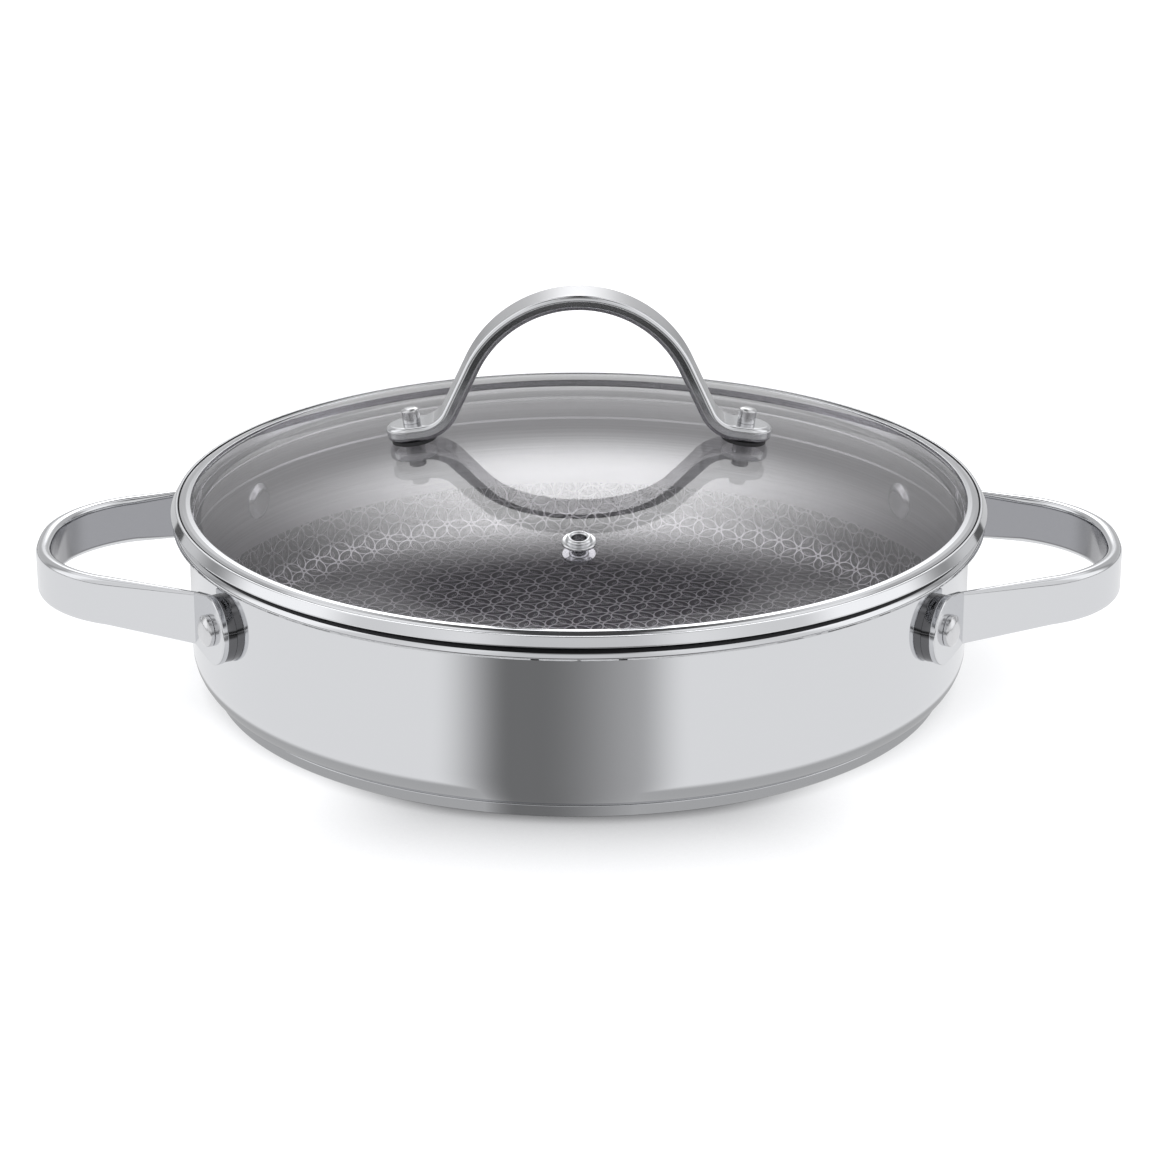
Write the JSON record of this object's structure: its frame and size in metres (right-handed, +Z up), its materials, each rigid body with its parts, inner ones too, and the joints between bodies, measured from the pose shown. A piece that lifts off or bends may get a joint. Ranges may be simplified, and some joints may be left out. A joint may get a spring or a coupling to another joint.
{
  "type": "saute pan with lid",
  "caption": "Round shallow saute pan with a capsule base, riveted loop side handles and a domed glass lid with a steel rim, arched handle and steam vent.",
  "frame": {"origin": "centre of the base, on the surface that the pan stands on", "axes": "+Z up, X through both side handles, -Y towards the front, where the steam vent is"},
  "size_m": [0.3922, 0.2934, 0.1442],
  "materials": {
    "shell_steel": "mirror polished outside, brushed inside, etched non-stick floor",
    "core_aluminium": "plain",
    "base_steel": "polished side, circular brushed underside",
    "handle_steel": "mirror polished",
    "pad_steel": "mirror polished",
    "rivet_steel": "satin",
    "lid_glass": "clear tempered glass",
    "rim_steel": "mirror polished",
    "vent_steel": "polished",
    "lid_handle_steel": "mirror polished",
    "washer_rubber": "matt black silicone",
    "fastener_steel": "satin"
  },
  "bodies": {
    "pan": {"pan_shell": "shell_steel", "base_core": "core_aluminium", "base_cap": "base_steel", "handle_left": "handle_steel", "handle_right": "handle_steel", "handle_pad_left_front": "pad_steel", "handle_pad_left_rear": "pad_steel", "handle_pad_right_front": "pad_steel", "handle_pad_right_rear": "pad_steel", "handle_rivet_left_front": "rivet_steel", "handle_rivet_left_rear": "rivet_steel", "handle_rivet_right_front": "rivet_steel", "handle_rivet_right_rear": "rivet_steel"},
    "lid": {"lid_glass": "lid_glass", "lid_rim": "rim_steel", "vent_eyelet": "vent_steel", "vent_ring": "vent_steel", "lid_handle": "lid_handle_steel", "lid_seat_washer_left": "washer_rubber", "lid_seat_washer_right": "washer_rubber", "lid_under_washer_left": "washer_rubber", "lid_under_washer_right": "washer_rubber", "lid_post_left": "fastener_steel", "lid_post_right": "fastener_steel", "lid_screw_left": "fastener_steel", "lid_screw_right": "fastener_steel"}
  },
  "joints": [
    {"name": "lid_lift", "type": "slide", "parent": "pan", "child": "lid", "axis": [0, 0, 1], "range_m": [0, 0.15]}
  ]
}
